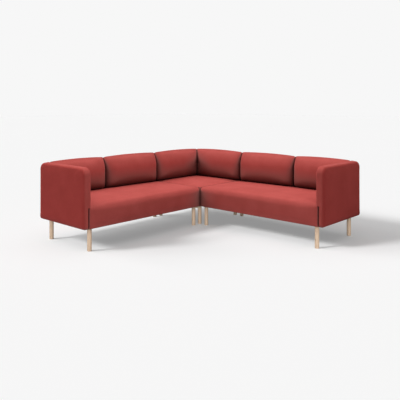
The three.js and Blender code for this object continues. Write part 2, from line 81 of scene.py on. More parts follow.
# Seats
SEAT_CROWN = 0.018
CROWN_FLATNESS = 4
SEAT_EDGE_RADIUS = 0.040
SEAT_TUCK_RADIUS = 0.009
SEAT_JOINT_RADIUS = 0.009
SEAT_ARM_RADIUS = 0.017
APRON_THICKNESS = 0.022
END_PADDING = 0.010
CORNER_RETURN = 0.045
PAD_UNDERSIDE = 0.2920
SEAT_SPACING = 0.014

# Arms
ARM_THICKNESS = 0.082
ARM_PRESSED_THICKNESS = 0.050
ARM_FRONT_RADIUS = 0.075
ARM_EDGE_RADIUS = 0.026
ARM_OUTER_PADDING = 0.014
ARM_CORE_INSET = 0.034
ARM_FACE_RINGS = 26
ARM_EDGE_STEPS = 7
ARM_OUTLINE_STEPS = 12
ARM_OUTLINE_POINTS = 220

# Back panels
PANEL_THICKNESS = 0.048
BACK_TOP_RADIUS = 0.072
BOTTOM_CORNER_RADIUS = 0.030
PANEL_END_RADIUS = 0.006
PANEL_END_STEPS = 4
PANEL_LIP_CHAMFER = 0.006
OUTER_CORNER_RADIUS = 0.040
PANEL_OUTER_PADDING = 0.012
PANEL_CORE_INSET = 0.040
PLY_THICKNESS = 0.015
PANEL_RING_POINTS = 110
PANEL_STATION_SPACING = 0.024

# Back cushions
CUSHION_OVERHANG = 0.037
INNER_CUSHION_LENGTH = 0.761
CUSHION_RISE = 0.017
CUSHION_BASE_DEPTH = 0.105
CUSHION_CREST_OUT = 0.060
CUSHION_CREST_DROP = 0.012
CUSHION_SHOULDER_HEIGHT = 0.165
CUSHION_LEAN_FRONT = 0.070
CUSHION_LEAN_CREST = (0.050, -0.027)
CUSHION_REAR_RADIUS = 0.032
CUSHION_FRONT_TUCK_OUT = 0.046
CUSHION_FRONT_TUCK_UP = 0.072
CUSHION_REAR_TUCK = 0.009
CUSHION_BULGE = 0.025
CUSHION_BELLY = 1.3
CUSHION_END_LENGTH = 0.115
CUSHION_END_RECESS = 0.084
CUSHION_MITRE_LENGTH = 0.034
CUSHION_MITRE_RECESS = 0.026
CUSHION_CORNER_RADIUS = 0.020
CUSHION_END_DRAW = 0.005
CUSHION_END_DRAW_POWER = 6
CUSHION_END_BULGE = 0.003
CUSHION_RING_POINTS = 84
CUSHION_SPACING = 0.013
CUSHION_END_STEPS = 9
CUSHION_CAP_RINGS = 7

# Legs
LEG_DIAMETER = 0.042
LEG_FOOT_RADIUS = 0.003
LEG_FOOT_STEPS = 5
LEG_FOOT_RINGS = (0.35, 0.7)
LEG_SHAFT_START = 0.020
LEG_SHAFT_RINGS = 12
LEG_SHOULDER = 0.2128
LEG_SHOULDER_CHAMFER = 0.0008
LEG_SHOULDER_DEPTH = 0.004
LEG_TENON_RADIUS = 0.010
LEG_SIDES = 48

# The covers, as cloth under pressure
COVER_FRAMES = 20
COVER_QUALITY = 5
COVER_PRESSURE = 4.0
COVER_MASS = 0.3
COVER_STIFFNESS = 30.0
COVER_BENDING = 2.0
CUSHION_SEAM_REACH = 0.016
CUSHION_SEAM_SHRINK = 0.06

# How far each kind of cover may swell, and over which lengths it becomes free beside what holds it
CUSHION_SWELL = 0.010
SEAT_SWELL = 0.004
ARM_SWELL = 0.004
CUSHION_FREE_OUT = 0.020
CUSHION_FREE_UP = 0.030
SEAT_FREE_OUT = 0.080
SEAT_FREE_UP = 0.060
SEAT_FREE_JOINT = 0.030
SEAT_FREE_ARM = 0.050
ARM_HELD = 0.010
ARM_FREE_ALONG = 0.030
ARM_FREE_UP = 0.050

# The angle in degrees from which an edge is shaded as sharp
SHARP_ANGLE = 40.0

# The groove in an arm beside the seat, and the way that each arm's outer side faces, which is painted darker
# and redder as painted shade
ARM_GROOVE_DEPTH = 0.022
ARM_GROOVE_INNER = 0.020
ARM_GROOVE_OUTER = 0.014
ARM_GROOVE_BOTTOM = 0.0014
ARM_SHADED_SIDES = {"left": (0.0, -1.0, 0.0), "right": (1.0, 0.0, 0.0)}

# Scales of the materials
FABRIC_PITCH = 0.0030
WEBBING_PITCH = 0.0046
PLY_LAYER = 0.0025
# How far the fabric's painted shade looks for neighbours that hide a place
PAINTED_SHADE_REACH = 0.28

# The floor, as shares of white: as seen, as it lights the sofa, and what its shadows leave
FLOOR_SEEN = 0.93
FLOOR_BOUNCE = 0.45
FLOOR_GLOW = 0.30
FLOOR_REACH = 60.0

# Suns: the level, the direction that the light comes from, and the softness in degrees
SOFA_TOP = (0.68, (0.0, 0.0, 1.0), 80.0)
SOFA_KEY = (0.19, (-1.0, -0.9, 1.0), 30.0)
SOFA_SIDE = (0.09, (0.75, 0.0, 0.66), 60.0)
LEG_FILL = (0.45, (0.6, -0.8, 0.3), 40.0)
FLOOR_TOP = (0.27, (0.0, 0.0, 1.0), 80.0)
FLOOR_STEEP = (0.87, (-0.67, -1.28, 1.0), 15.0)
FLOOR_LEFT = (0.16, (-1.6, -0.6, 1.0), 20.0)
FLOOR_LOW = (0.31, (-1.9, -1.6, 1.0), 20.0)
SUN_PLACE = (0.0, 0.0, 3.0)

# The softbox in front of the sofa, and the world
SOFTBOX_POWER = 11.0
SOFTBOX_SIZE = 2.2
SOFTBOX_PLACE = (0.35, -0.35, 2.6)
SOFTBOX_TARGET = (-0.2, 0.2, 0.4)
WORLD_LEVEL = 0.03

# The photograph's camera, solved from the sofa's outline: angles in degrees, lens in millimetres
CAMERA_PLACE = (3.5463, -3.8849, 1.3440)
CAMERA_DIP = 0.1955
CAMERA_TURN = 42.4495
CAMERA_LENS = 46.243
CAMERA_SENSOR = 36.0
CAMERA_SHIFT = (-0.0041, -0.2303)
CAMERA_FAR = 200.0

# Places that follow from the sizes
CORNER_END = MODULE_DEPTH
WING_START = CORNER_END + MODULE_GAP
WING_END = 2 * HALF_LENGTH
ARM_INNER = WING_END - ARM_THICKNESS
SEAT_ARM_END = WING_END - ARM_PRESSED_THICKNESS
PANEL_FRONT = PANEL_THICKNESS + CLEARANCE
CUSHION_BACK = PANEL_FRONT + CLEARANCE
CUSHION_FRONT = CUSHION_BACK + CUSHION_BASE_DEPTH
CORNER_CUSHION_END = CORNER_END + CUSHION_OVERHANG
INNER_CUSHION_END = CORNER_CUSHION_END + INNER_CUSHION_LENGTH
CUSHION_TOP = PANEL_TOP + CUSHION_RISE

SIDES = ("left", "right")
ALONG, OUT, UP = range(3)


def srgb(red, green, blue):
    """A colour as it is seen, 0 to 255, in the linear values that a shader takes."""
    def linear(value):
        share = value / 255
        return share / 12.92 if share <= 0.04045 else ((share + 0.055) / 1.055) ** 2.4
    return (linear(red), linear(green), linear(blue), 1.0)


def grey(share):
    """A neutral colour, as a share of white."""
    return (share, share, share, 1.0)


# Meshes

def to_row(side, points):
    """Places written (along, out, up) in the row frame."""
    along, out, up = np.asarray(points, float).T
    if side == "right":
        return np.column_stack((along - HALF_LENGTH, HALF_LENGTH - out, up))
    return np.column_stack((out - HALF_LENGTH, HALF_LENGTH - along, up))


def from_row(side, points):
    """Places of the row frame written (along, out, up)."""
    x, y, up = np.asarray(points, float).T
    if side == "right":
        return np.column_stack((x + HALF_LENGTH, HALF_LENGTH - y, up))
    return np.column_stack((HALF_LENGTH - y, x + HALF_LENGTH, up))


def new_object(name, points, faces):
    """An object from places in the row frame."""
    mesh = bpy.data.meshes.new(name)
    mesh.from_pydata(points, [], faces)
    mesh.validate()
    mesh.update()
    piece = bpy.data.objects.new(name, mesh)
    bpy.context.scene.collection.objects.link(piece)
    return piece


def make_mesh(name, side, points, faces):
    """An object from places written (along, out, up). The right side is a mirror image, so its faces turn."""
    if side == "right":
        faces = [tuple(reversed(face)) for face in faces]
    return new_object(name, to_row(side, points).tolist(), faces)


def ring_faces(rings):
    """The faces that join rings of points, with a fan to one more point at each end."""
    count = len(rings[0])
    faces = []
    for ring in range(len(rings) - 1):
        for point in range(count):
            here = ring * count + point
            beside = ring * count + (point + 1) % count
            faces.append((here, beside, beside + count, here + count))
    first = len(rings) * count
    last = first + 1
    last_ring = (len(rings) - 1) * count
    for point in range(count):
        beside = (point + 1) % count
        faces.append((first, beside, point))
        faces.append((last, last_ring + point, last_ring + beside))
    return faces


def closed_rings(name, side, rings, first_middle, last_middle):
    """A surface through rings of points, closed by a fan at each end."""
    return make_mesh(name, side, np.vstack((*rings, first_middle, last_middle)), ring_faces(rings))


def bake_modifiers(piece):
    """Replaces a piece's mesh by what its modifiers make of it."""
    graph = bpy.context.evaluated_depsgraph_get()
    mesh = bpy.data.meshes.new_from_object(piece.evaluated_get(graph))
    piece.modifiers.clear()
    piece.data = mesh


def carve(piece, cutters, operation="DIFFERENCE"):
    """Cuts closed bodies out of a piece, or keeps what it has in common with them."""
    for cutter in cutters:
        modifier = piece.modifiers.new("carve", "BOOLEAN")
        modifier.operation = operation
        modifier.solver = "EXACT"
        modifier.object = cutter
    bake_modifiers(piece)
    for cutter in cutters:
        bpy.data.objects.remove(cutter)


def box_body(side, low, high):
    """A plain box for cutting, from its lowest to its highest corner."""
    corners = [
        (along, out, up)
        for up in (low[2], high[2])
        for out in (low[1], high[1])
        for along in (low[0], high[0])
    ]
    faces = [(0, 2, 3, 1), (4, 5, 7, 6), (0, 1, 5, 4), (2, 6, 7, 3), (0, 4, 6, 2), (1, 3, 7, 5)]
    return make_mesh("cutter", side, corners, faces)


def prism(side, outline, axis, start, end):
    """An outline swept for cutting, from start to end on one axis. Its values fill the other two in order."""
    count = len(outline)
    points = [(*pair[:axis], depth, *pair[axis:]) for depth in (start, end) for pair in outline]
    faces = [tuple(reversed(range(count))), tuple(range(count, 2 * count))]
    for index in range(count):
        following = (index + 1) % count
        faces.append((index, following, following + count, index + count))
    return make_mesh("cutter", side, points, faces)


def arc(centre_x, centre_y, radius_x, radius_y, start, end, steps):
    """Points of an ellipse's arc between two angles in quarter turns, both ends included."""
    turns = np.linspace(start, end, steps + 1) * math.pi / 2
    return np.column_stack((centre_x + radius_x * np.cos(turns), centre_y + radius_y * np.sin(turns)))


def rounded_edge(radius, steps):
    """How deep the rings of a rounded edge lie, and how far each is drawn in."""
    turns = np.linspace(0, math.pi / 2, steps + 1)
    return [(radius * (1 - math.cos(turn)), radius * (1 - math.sin(turn))) for turn in turns]


def respaced(outline, count):
    """The closed outline again, with its points at even distances from its first point."""
    closed = np.vstack((outline, outline[:1]))
    steps = np.hypot(*np.diff(closed, axis=0).T)
    places = np.concatenate(([0.0], np.cumsum(steps)))
    wanted = np.linspace(0.0, places[-1], count, endpoint=False)
    return np.column_stack([np.interp(wanted, places, closed[:, axis]) for axis in (0, 1)])


def rounded_rectangle(low, high, radii, steps):
    """A rectangle's outline, its corner radii counted anticlockwise from the low-low corner."""
    (left, bottom), (right, top) = low, high
    corners = (
        (left, bottom, 1, 1, 2),
        (right, bottom, -1, 1, 3),
        (right, top, -1, -1, 0),
        (left, top, 1, -1, 1),
    )
    return np.vstack([
        arc(x + inward_x * radius, y + inward_y * radius, radius, radius, turn, turn + 1, steps)
        for (x, y, inward_x, inward_y, turn), radius in zip(corners, radii)
    ])


# Seats

def swell(share):
    """How much of its full rise a crowned surface has at a share of its length."""
    return 1 - np.abs(2 * share - 1) ** CROWN_FLATNESS


def pad_stops(low, high, low_radius, high_radius):
    """Stops from low to high: tight ones where the surface turns, and even ones across the face."""
    turn_steps = 5
    turn = [math.tan(math.pi / 4 * step / turn_steps) for step in range(1, turn_steps + 1)]
    face_low, face_high = low + low_radius, high - high_radius
    face_steps = max(1, round((face_high - face_low) / SEAT_SPACING))
    stops = [face_low - low_radius * share for share in reversed(turn)]
    stops += list(np.linspace(face_low, face_high, face_steps + 1))
    stops += [face_high + high_radius * share for share in turn]
    return np.array(stops)


def padded_block(low, high, low_radii, high_radii):
    """Points and faces of a block whose edges are rounded by one radius for each of its six sides."""
    stops = [pad_stops(*values) for values in zip(low, high, low_radii, high_radii)]
    last = [len(values) - 1 for values in stops]
    numbers = {}
    faces = []

    def number(place):
        return numbers.setdefault(place, len(numbers))

    for axis in range(3):
        first, second = (axis + 1) % 3, (axis + 2) % 3
        for level in (0, last[axis]):
            for i in range(last[first]):
                for j in range(last[second]):
                    corners = []
                    for di, dj in ((0, 0), (1, 0), (1, 1), (0, 1)):
                        place = [0, 0, 0]
                        place[axis], place[first], place[second] = level, i + di, j + dj
                        corners.append(number(tuple(place)))
                    faces.append(tuple(corners if level else reversed(corners)))
    places = np.array(list(numbers))
    on_box = np.column_stack([stops[axis][places[:, axis]] for axis in range(3)])
    low, high = np.array(low), np.array(high)
    low_radii, high_radii = np.array(low_radii), np.array(high_radii)
    core = np.clip(on_box, low + low_radii, high - high_radii)
    radii = np.where(on_box < core, low_radii, high_radii)
    reach = (on_box - core) / radii
    length = np.linalg.norm(reach, axis=1, keepdims=True)
    return core + radii * reach / length, faces


def seat_block(low, high, low_radii, high_radii):
    """A rounded block whose top rises towards its middle."""
    points, faces = padded_block(low, high, low_radii, high_radii)
    shares = (points - low) / (np.array(high) - low)
    points[:, 2] += SEAT_CROWN * shares[:, 2] * swell(shares[:, 0]) * swell(shares[:, 1])
    return points, faces


def wing_seat(grow=0.0):
    """The outer form of a two-seat wing's pad; grow widens it on all sides."""
    low = (WING_START - grow, PANEL_FRONT - grow, LEG_HEIGHT - grow)
    high = (SEAT_ARM_END + grow, MODULE_DEPTH + grow, SEAT_TOP + grow)
    low_radii = (SEAT_JOINT_RADIUS, SEAT_TUCK_RADIUS, SEAT_TUCK_RADIUS)
    high_radii = (SEAT_ARM_RADIUS, SEAT_EDGE_RADIUS, SEAT_EDGE_RADIUS)
    return seat_block(low, high, low_radii, high_radii)


def corner_seat():
    """The outer form of the corner module's pad."""
    low = (PANEL_FRONT, PANEL_FRONT, LEG_HEIGHT)
    high = (MODULE_DEPTH, MODULE_DEPTH, SEAT_TOP)
    low_radii = (SEAT_TUCK_RADIUS,) * 3
    high_radii = (SEAT_JOINT_RADIUS, SEAT_JOINT_RADIUS, SEAT_EDGE_RADIUS)
    return seat_block(low, high, low_radii, high_radii)


def wing_seat_cutters(side):
    """The room for a wing's frame under its pad, behind and between the apron's ends."""
    return_start = MODULE_DEPTH - CORNER_RETURN
    return [
        box_body(
            side,
            (WING_START - OVERRUN, PANEL_FRONT - OVERRUN, LEG_HEIGHT - OVERRUN),
            (WING_END + OVERRUN, return_start, PAD_UNDERSIDE),
        ),
        box_body(
            side,
            (WING_START + END_PADDING, return_start - OVERRUN, LEG_HEIGHT - OVERRUN),
            (SEAT_ARM_END - END_PADDING, MODULE_DEPTH - APRON_THICKNESS, PAD_UNDERSIDE),
        ),
    ]


def corner_seat_cutters():
    """The room for the corner module's frame under its pad."""
    return_start = MODULE_DEPTH - CORNER_RETURN
    start = PANEL_FRONT - OVERRUN
    bottom = LEG_HEIGHT - OVERRUN
    beyond = MODULE_DEPTH + OVERRUN
    inside = MODULE_DEPTH - END_PADDING
    return [
        box_body("right", (start, start, bottom), (return_start, beyond, PAD_UNDERSIDE)),
        box_body("right", (start, start, bottom), (beyond, return_start, PAD_UNDERSIDE)),
        box_body("right", (start, start, bottom), (inside, inside, PAD_UNDERSIDE)),
    ]


# Back cushions

def eased_curve(start, start_ease, end_ease, end, steps):
    """Points on a cubic curve between two ends, drawn towards its two easing points."""
    t = np.linspace(0, 1, steps)[:, None]
    points = (start, start_ease, end_ease, end)
    weights = ((1 - t) ** 3, 3 * t * (1 - t) ** 2, 3 * t ** 2 * (1 - t), t ** 3)
    return sum(weight * np.array(point) for weight, point in zip(weights, points))


def cushion_bottom():
    """The height of the cushions' flat undersides, just above the crowned seat."""
    share = (CUSHION_FRONT - PANEL_FRONT) / (MODULE_DEPTH - PANEL_FRONT)
    return SEAT_TOP + SEAT_CROWN * swell(share) + CLEARANCE


CUSHION_BOTTOM = cushion_bottom()


def cushion_section():
    """The section of a back cushion in out and up: it leans back at the top and is tucked in at its foot."""
    steps = 24
    shoulder = CUSHION_TOP - CUSHION_SHOULDER_HEIGHT
    rear_reach = CUSHION_CREST_OUT - CUSHION_BACK
    rear_shoulder = CUSHION_TOP - CUSHION_REAR_RADIUS
    rear_tuck, tuck_out, tuck_up = CUSHION_REAR_TUCK, CUSHION_FRONT_TUCK_OUT, CUSHION_FRONT_TUCK_UP
    front = (CUSHION_FRONT, shoulder)
    crest = (CUSHION_CREST_OUT, CUSHION_TOP)
    front_ease = (CUSHION_FRONT, shoulder + CUSHION_LEAN_FRONT)
    crest_ease = (CUSHION_CREST_OUT + CUSHION_LEAN_CREST[0], CUSHION_TOP + CUSHION_LEAN_CREST[1])
    outline = np.vstack((
        arc(CUSHION_BACK + rear_tuck, CUSHION_BOTTOM + rear_tuck, rear_tuck, rear_tuck, 2, 3, steps),
        arc(CUSHION_FRONT - tuck_out, CUSHION_BOTTOM + tuck_up, tuck_out, tuck_up, 3, 4, steps),
        eased_curve(front, front_ease, crest_ease, crest, steps),
        arc(CUSHION_CREST_OUT, rear_shoulder, rear_reach, CUSHION_REAR_RADIUS, 1, 2, steps),
    ))
    return respaced(outline, CUSHION_RING_POINTS)


def cushion_rings(start, end, start_length, end_length):
    """Where the rings of a cushion lie: close together where its ends turn back, and even between them."""
    steps = np.arange(1, CUSHION_END_STEPS + 1)
    turn = 1 - np.sin(math.pi / 2 * steps / CUSHION_END_STEPS)
    face_start, face_end = start + start_length, end - end_length
    face_steps = round((face_end - face_start) / CUSHION_SPACING)
    return np.concatenate((
        start + start_length * turn[::-1],
        np.linspace(face_start, face_end, face_steps + 1),
        end - end_length * turn,
    ))


def turned_in(distance, length, depth):
    """How far a surface has turned in at a distance from its end, on a quarter of an ellipse."""
    reach = 1 - np.minimum(distance / length, 1)
    return depth * (1 - np.sqrt(1 - reach ** 2))


def cushion_mesh(name, side, start, end, mitre):
    """A back cushion between two places along the wing. mitre slants its start end into the corner."""
    section = cushion_section()
    start_length = CUSHION_MITRE_LENGTH if mitre else CUSHION_END_LENGTH
    start_recess = CUSHION_MITRE_RECESS if mitre else CUSHION_END_RECESS
    height = CUSHION_TOP - CUSHION_BOTTOM
    middle_up = CUSHION_BOTTOM + height / 2
    out, up = section.T
    tall = np.clip((up - CUSHION_BOTTOM) / height, 0, 1)
    across = 2 * (out - CUSHION_BACK) / CUSHION_BASE_DEPTH - 1
    level = 2 * tall - 1
    on_corner = np.minimum(1, np.abs(across * level))
    belly = np.where(across > 0, np.sin(math.pi * tall ** CUSHION_BELLY), 0)
    rings = cushion_rings(start, end, start_length, CUSHION_END_LENGTH)

    def thickness(along):
        start_turn = turned_in(along - start, start_length, start_recess)
        end_turn = turned_in(end - along, CUSHION_END_LENGTH, CUSHION_END_RECESS)
        return 1 - (start_turn + end_turn) / CUSHION_BASE_DEPTH

    def slanted(ring):
        if not mitre:
            return ring
        from_end = (end - ring[:, 0]) / (end - start)
        return ring + np.column_stack(((ring[:, 1] - CUSHION_BACK) * from_end, 0 * from_end, 0 * from_end))

    bodies = []
    for along in rings:
        share = 2 * (along - start) / (end - start) - 1
        from_end = min(along - start, end - along)
        cornered = turned_in(from_end, CUSHION_CORNER_RADIUS, CUSHION_CORNER_RADIUS)
        draw = CUSHION_END_DRAW * abs(share) ** CUSHION_END_DRAW_POWER
        drawn = math.copysign(1, share) * draw * (1 - on_corner)
        bulge = CUSHION_BULGE * (1 - share ** 2) * belly
        lowered = CUSHION_CREST_DROP * share ** 2 * tall ** 2
        bodies.append(np.column_stack((
            along - drawn,
            CUSHION_BACK + (out - CUSHION_BACK) * thickness(along) + bulge,
            middle_up + level * (height / 2 - cornered) - lowered,
        )))
    caps = []
    for along, inward, edge in ((start, 1, bodies[0]), (end, -1, bodies[-1])):
        middle_out = CUSHION_BACK + CUSHION_BASE_DEPTH / 2 * thickness(along)
        middle = np.array((along + inward * (CUSHION_END_DRAW - CUSHION_END_BULGE), middle_out, middle_up))
        shrink = [1 - step / CUSHION_CAP_RINGS for step in range(1, CUSHION_CAP_RINGS)]
        caps.append([middle + (edge - middle) * share for share in shrink] + [middle[None, :]])
    ordered = caps[0][:-1][::-1] + bodies + caps[1][:-1]
    middles = [slanted(cap[-1])[0] for cap in caps]
    return closed_rings(name, side, [slanted(ring) for ring in ordered], *middles)


# Arms

def arm_outline(inset):
    """The arm's side outline in out and up; inset draws it in on all sides."""
    radii = [
        max(radius - inset, SEAT_TUCK_RADIUS)
        for radius in (BOTTOM_CORNER_RADIUS, BOTTOM_CORNER_RADIUS, ARM_FRONT_RADIUS, BACK_TOP_RADIUS)
    ]
    low = (inset, LEG_HEIGHT + inset)
    high = (MODULE_DEPTH - inset, PANEL_TOP - inset)
    return rounded_rectangle(low, high, radii, ARM_OUTLINE_STEPS)


def arm_rings():
    """Rings of the arm from the middle of its inner face round its edge to the middle of its outer face."""
    middle = np.array((MODULE_DEPTH / 2, (LEG_HEIGHT + PANEL_TOP) / 2))
    inner, outer = [], []
    flat = respaced(arm_outline(ARM_EDGE_RADIUS), ARM_OUTLINE_POINTS)
    for step in range(1, ARM_FACE_RINGS):
        ring = middle + (flat - middle) * step / ARM_FACE_RINGS
        inner.append((ARM_INNER, ring))
        outer.append((WING_END, ring))
    for depth, inset in rounded_edge(ARM_EDGE_RADIUS, ARM_EDGE_STEPS):
        ring = respaced(arm_outline(inset), ARM_OUTLINE_POINTS)
        inner.append((ARM_INNER + depth, ring))
        outer.append((WING_END - depth, ring))
    order = inner + outer[::-1]
    rings = [np.column_stack((np.full(len(ring), along), ring)) for along, ring in order]
    return rings, middle


def arm_body(name, side):
    """An arm before anything is cut into it."""
    rings, middle = arm_rings()
    return closed_rings(name, side, rings, (ARM_INNER, *middle), (WING_END, *middle))


def arm_cutters(side):
    """What is cut or pressed into the arm: the groove, the ends of seat and frame, and the board's slot."""
    seat_end = make_mesh("cutter", side, *wing_seat(2 * CLEARANCE))
    outer = WING_END - ARM_OUTER_PADDING
    slot_start, slot_end = outer - PLY_THICKNESS - CLEARANCE, outer + CLEARANCE
    slot_inset = ARM_CORE_INSET - CLEARANCE
    frame_room = box_body(
        side,
        (ARM_INNER - OVERRUN, PANEL_FRONT, LEG_HEIGHT - OVERRUN),
        (SEAT_ARM_END - END_PADDING, MODULE_DEPTH - APRON_THICKNESS, PAD_UNDERSIDE),
    )
    slot = prism(side, arm_outline(slot_inset), ALONG, slot_start, slot_end)
    mouth_top = LEG_HEIGHT + ARM_CORE_INSET + BOTTOM_CORNER_RADIUS
    mouth = box_body(
        side,
        (slot_start, slot_inset, LEG_HEIGHT - OVERRUN),
        (slot_end, MODULE_DEPTH - slot_inset, mouth_top),
    )
    front = MODULE_DEPTH + OVERRUN
    groove_outline = [
        (SEAT_ARM_END - ARM_GROOVE_BOTTOM, MODULE_DEPTH - ARM_GROOVE_DEPTH),
        (SEAT_ARM_END + ARM_GROOVE_OUTER, front),
        (SEAT_ARM_END - ARM_GROOVE_INNER, front),
    ]
    groove_bottom, groove_top = LEG_HEIGHT - 2 * OVERRUN, SEAT_TOP - SEAT_EDGE_RADIUS / 2
    groove = prism(side, groove_outline, UP, groove_bottom, groove_top)
    return [groove, seat_end, frame_room, slot, mouth]


# Back panels

def panel_section(inset):
    """The section of a back panel in out and up; its outer edges follow the arm's curves."""
    steps = 14
    curve_middle = PANEL_TOP - BACK_TOP_RADIUS
    radius = BACK_TOP_RADIUS - inset
    front = PANEL_THICKNESS - inset
    lip = front - PANEL_LIP_CHAMFER
    lip_turn = math.acos((lip - BACK_TOP_RADIUS) / radius) / (math.pi / 2)
    chamfer_up = curve_middle + math.sqrt(radius ** 2 - (BACK_TOP_RADIUS - front) ** 2) - PANEL_LIP_CHAMFER
    corner = BOTTOM_CORNER_RADIUS
    tuck = SEAT_TUCK_RADIUS
    return np.vstack((
        arc(corner, LEG_HEIGHT + corner, corner - inset, corner - inset, 2, 3, steps),
        arc(PANEL_THICKNESS - tuck, LEG_HEIGHT + tuck, tuck - inset, tuck - inset, 3, 4, steps),
        [[front, chamfer_up]],
        arc(BACK_TOP_RADIUS, curve_middle, radius, radius, lip_turn, 2, steps),
    ))


def back_panel(name, side, start, end):
    """A padded back panel between two places, its ends rounded, with the slot for its board open below."""
    rings = [(start + depth, inset) for depth, inset in rounded_edge(PANEL_END_RADIUS, PANEL_END_STEPS)]
    inner_start, inner_end = start + PANEL_END_RADIUS, end - PANEL_END_RADIUS
    count = round((inner_end - inner_start) / PANEL_STATION_SPACING)
    rings += [(along, 0.0) for along in np.linspace(inner_start, inner_end, count + 1)[1:-1]]
    rings += [(start + end - along, inset) for along, inset in reversed(rings[:PANEL_END_STEPS + 1])]
    placed = []
    for along, inset in rings:
        section = respaced(panel_section(inset), PANEL_RING_POINTS)
        placed.append(np.column_stack((np.full(PANEL_RING_POINTS, along), section)))
    middle = (PANEL_THICKNESS / 2, (LEG_HEIGHT + PANEL_TOP) / 2)
    panel = closed_rings(name, side, placed, (start, *middle), (end, *middle))
    low = (start + PANEL_CORE_INSET - CLEARANCE, PANEL_OUTER_PADDING - CLEARANCE, LEG_HEIGHT - OVERRUN)
    front = PANEL_OUTER_PADDING + PLY_THICKNESS + CLEARANCE
    high = (end - PANEL_CORE_INSET + CLEARANCE, front, PANEL_TOP - PANEL_CORE_INSET + CLEARANCE)
    carve(panel, [box_body(side, low, high)])
    return panel


def corner_panel_limits():
    """The outlines that round the corner panel's free end, in elevation and in plan."""
    steps = 16
    elevation = rounded_rectangle(
        (0.0, LEG_HEIGHT),
        (CORNER_END, PANEL_TOP),
        (BOTTOM_CORNER_RADIUS, PANEL_END_RADIUS, PANEL_END_RADIUS, BACK_TOP_RADIUS),
        steps,
    )
    plan = rounded_rectangle(
        (0.0, 0.0),
        (CORNER_END, PANEL_THICKNESS),
        (OUTER_CORNER_RADIUS, PANEL_END_RADIUS, PANEL_END_RADIUS, PANEL_LIP_CHAMFER),
        steps,
    )
    far = PANEL_THICKNESS + OVERRUN
    bottom, top = LEG_HEIGHT - OVERRUN, PANEL_TOP + OVERRUN
    return [
        prism("right", elevation, OUT, far, -OVERRUN),
        prism("right", plan, UP, bottom, top),
    ]


# Legs

def leg_mesh(name, node):
    """A turned leg with a rounded foot, in the place of its solid."""
    low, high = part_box(node)
    middle = np.array((low + high) / 2)[:2]
    radius = LEG_DIAMETER / 2
    shaft_end = LEG_SHOULDER - LEG_SHOULDER_DEPTH
    profile = [(radius * share, 0.0) for share in LEG_FOOT_RINGS]
    profile += [(radius - inset, up) for up, inset in rounded_edge(LEG_FOOT_RADIUS, LEG_FOOT_STEPS)]
    profile += [(radius, up) for up in np.linspace(LEG_SHAFT_START, shaft_end, LEG_SHAFT_RINGS)]
    profile += [
        (radius - LEG_SHOULDER_CHAMFER, LEG_SHOULDER),
        (LEG_TENON_RADIUS, LEG_SHOULDER),
        (LEG_TENON_RADIUS, high.z),
    ]
    angles = np.linspace(0, 2 * math.pi, LEG_SIDES, endpoint=False)
    circle = np.column_stack((np.cos(angles), np.sin(angles)))
    rings = [np.column_stack((middle + reach * circle, np.full(LEG_SIDES, up))) for reach, up in profile]
    points = np.vstack((*rings, (*middle, 0.0), (*middle, high.z)))
    return new_object(name, points.tolist(), ring_faces(rings))


# Materials

class Nodes:
    """Short ways to add and join the nodes of a material or a world."""

    def __init__(self, owner):
        owner.use_nodes = True
        self.owner = owner
        self.tree = owner.node_tree
        self.shader = self.tree.nodes.get("Principled BSDF")

    def feed(self, socket, value):
        """Sets a socket to a constant, or links it to an output."""
        if isinstance(value, bpy.types.NodeSocket):
            self.tree.links.new(value, socket)
        else:
            socket.default_value = value

    def shade(self, socket, value):
        self.feed(self.shader.inputs[socket], value)

    def add(self, kind, inputs=None, **settings):
        node = self.tree.nodes.new(kind)
        for key, value in settings.items():
            setattr(node, key, value)
        for key, value in (inputs or {}).items():
            self.feed(node.inputs[key], value)
        return node

    def place(self):
        return self.add("ShaderNodeTexCoord").outputs["Object"]

    def normal(self):
        return self.add("ShaderNodeNewGeometry").outputs["Normal"]

    def noise(self, vector, scale, detail=2.0, roughness=0.5):
        inputs = {"Vector": vector, "Scale": scale, "Detail": detail, "Roughness": roughness}
        return self.add("ShaderNodeTexNoise", inputs).outputs["Fac"]

    def ramp(self, factor, *stops):
        node = self.add("ShaderNodeValToRGB", {"Fac": factor})
        elements = node.color_ramp.elements
        while len(elements) < len(stops):
            elements.new(0.5)
        for element, (place, colour) in zip(elements, stops):
            element.position = place
            element.color = colour
        return node.outputs["Color"]

    def range(self, value, from_low, from_high, to_low=0.0, to_high=1.0):
        limits = {"From Min": from_low, "From Max": from_high, "To Min": to_low, "To Max": to_high}
        return self.add("ShaderNodeMapRange", {"Value": value, **limits}).outputs["Result"]

    def math(self, operation, first, second=0.0):
        return self.add("ShaderNodeMath", {0: first, 1: second}, operation=operation).outputs[0]

    def vector(self, operation, first, second=(0.0, 0.0, 0.0)):
        return self.add("ShaderNodeVectorMath", {0: first, 1: second}, operation=operation).outputs

    def axes(self, vector):
        return self.add("ShaderNodeSeparateXYZ", {0: vector}).outputs

    def mix(self, factor, first, second, blend="MIX"):
        first_colour, second_colour, mixed_colour = 6, 7, 2
        inputs = {"Factor": factor, first_colour: first, second_colour: second}
        node = self.add("ShaderNodeMix", inputs, data_type="RGBA", blend_type=blend)
        return node.outputs[mixed_colour]

    def bump(self, height, strength, distance):
        inputs = {"Strength": strength, "Distance": distance, "Height": height}
        self.shade("Normal", self.add("ShaderNodeBump", inputs).outputs["Normal"])


def new_material(name):
    """The nodes of a new material."""
    return Nodes(bpy.data.materials.new(name))


